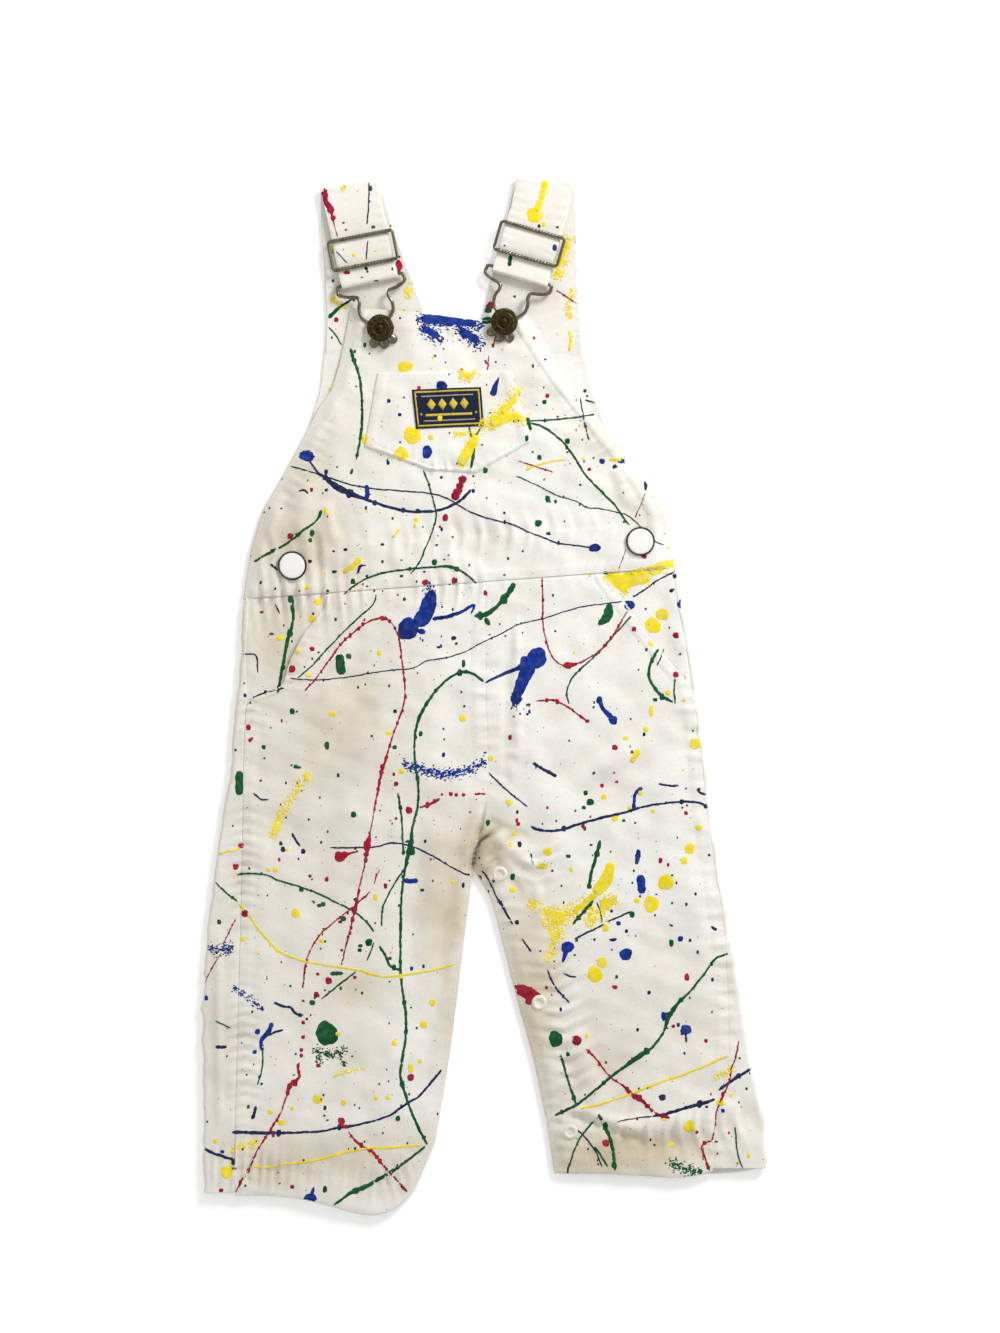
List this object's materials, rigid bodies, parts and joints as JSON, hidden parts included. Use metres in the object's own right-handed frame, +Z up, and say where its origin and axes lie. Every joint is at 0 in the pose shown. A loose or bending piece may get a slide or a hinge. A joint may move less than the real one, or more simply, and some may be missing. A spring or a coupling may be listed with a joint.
{
  "type": "paint spattered bib overalls",
  "caption": "Toddler's white cotton bib overalls with buckled straps, a bib pocket, slanted hip pockets and an inseam placket, spattered with paint, laid flat.",
  "frame": {"origin": "centre of the outline, on the surface that the garment lies on", "axes": "+X to the wearer's left, +Y from the hems to the shoulders, +Z up from the surface"},
  "size_m": [0.3124, 0.5696, 0.0092],
  "materials": {
    "drill": "matt woven cotton",
    "label": "matt woven navy label",
    "nickel": "bright nickel plate",
    "antique_brass": "darkened brass",
    "snap_white": "satin white enamel",
    "paint_blue": "dried craft paint",
    "paint_green": "dried craft paint",
    "paint_red": "dried craft paint",
    "paint_yellow": "dried craft paint"
  },
  "bodies": {
    "root": {"back_bib": "drill", "back_leg_right": "drill", "back_leg_left": "drill", "front_leg_right": "drill", "front_leg_left": "drill", "hip_pocket_right": "drill", "hip_pocket_left": "drill", "inseam_placket": "drill", "waistband": "drill", "bib": "drill", "bib_pocket": "drill", "label": "label", "strap_right": "drill", "strap_left": "drill", "slider_right": "nickel", "slider_left": "nickel", "buckle_right": "nickel", "buckle_left": "nickel", "catch_right": "nickel", "catch_left": "nickel", "bib_button_right": "antique_brass", "bib_button_left": "antique_brass", "side_button_right": "nickel", "side_button_left": "nickel", "snap_1": "snap_white", "snap_2": "snap_white", "snap_3": "snap_white"}
  },
  "joints": []
}
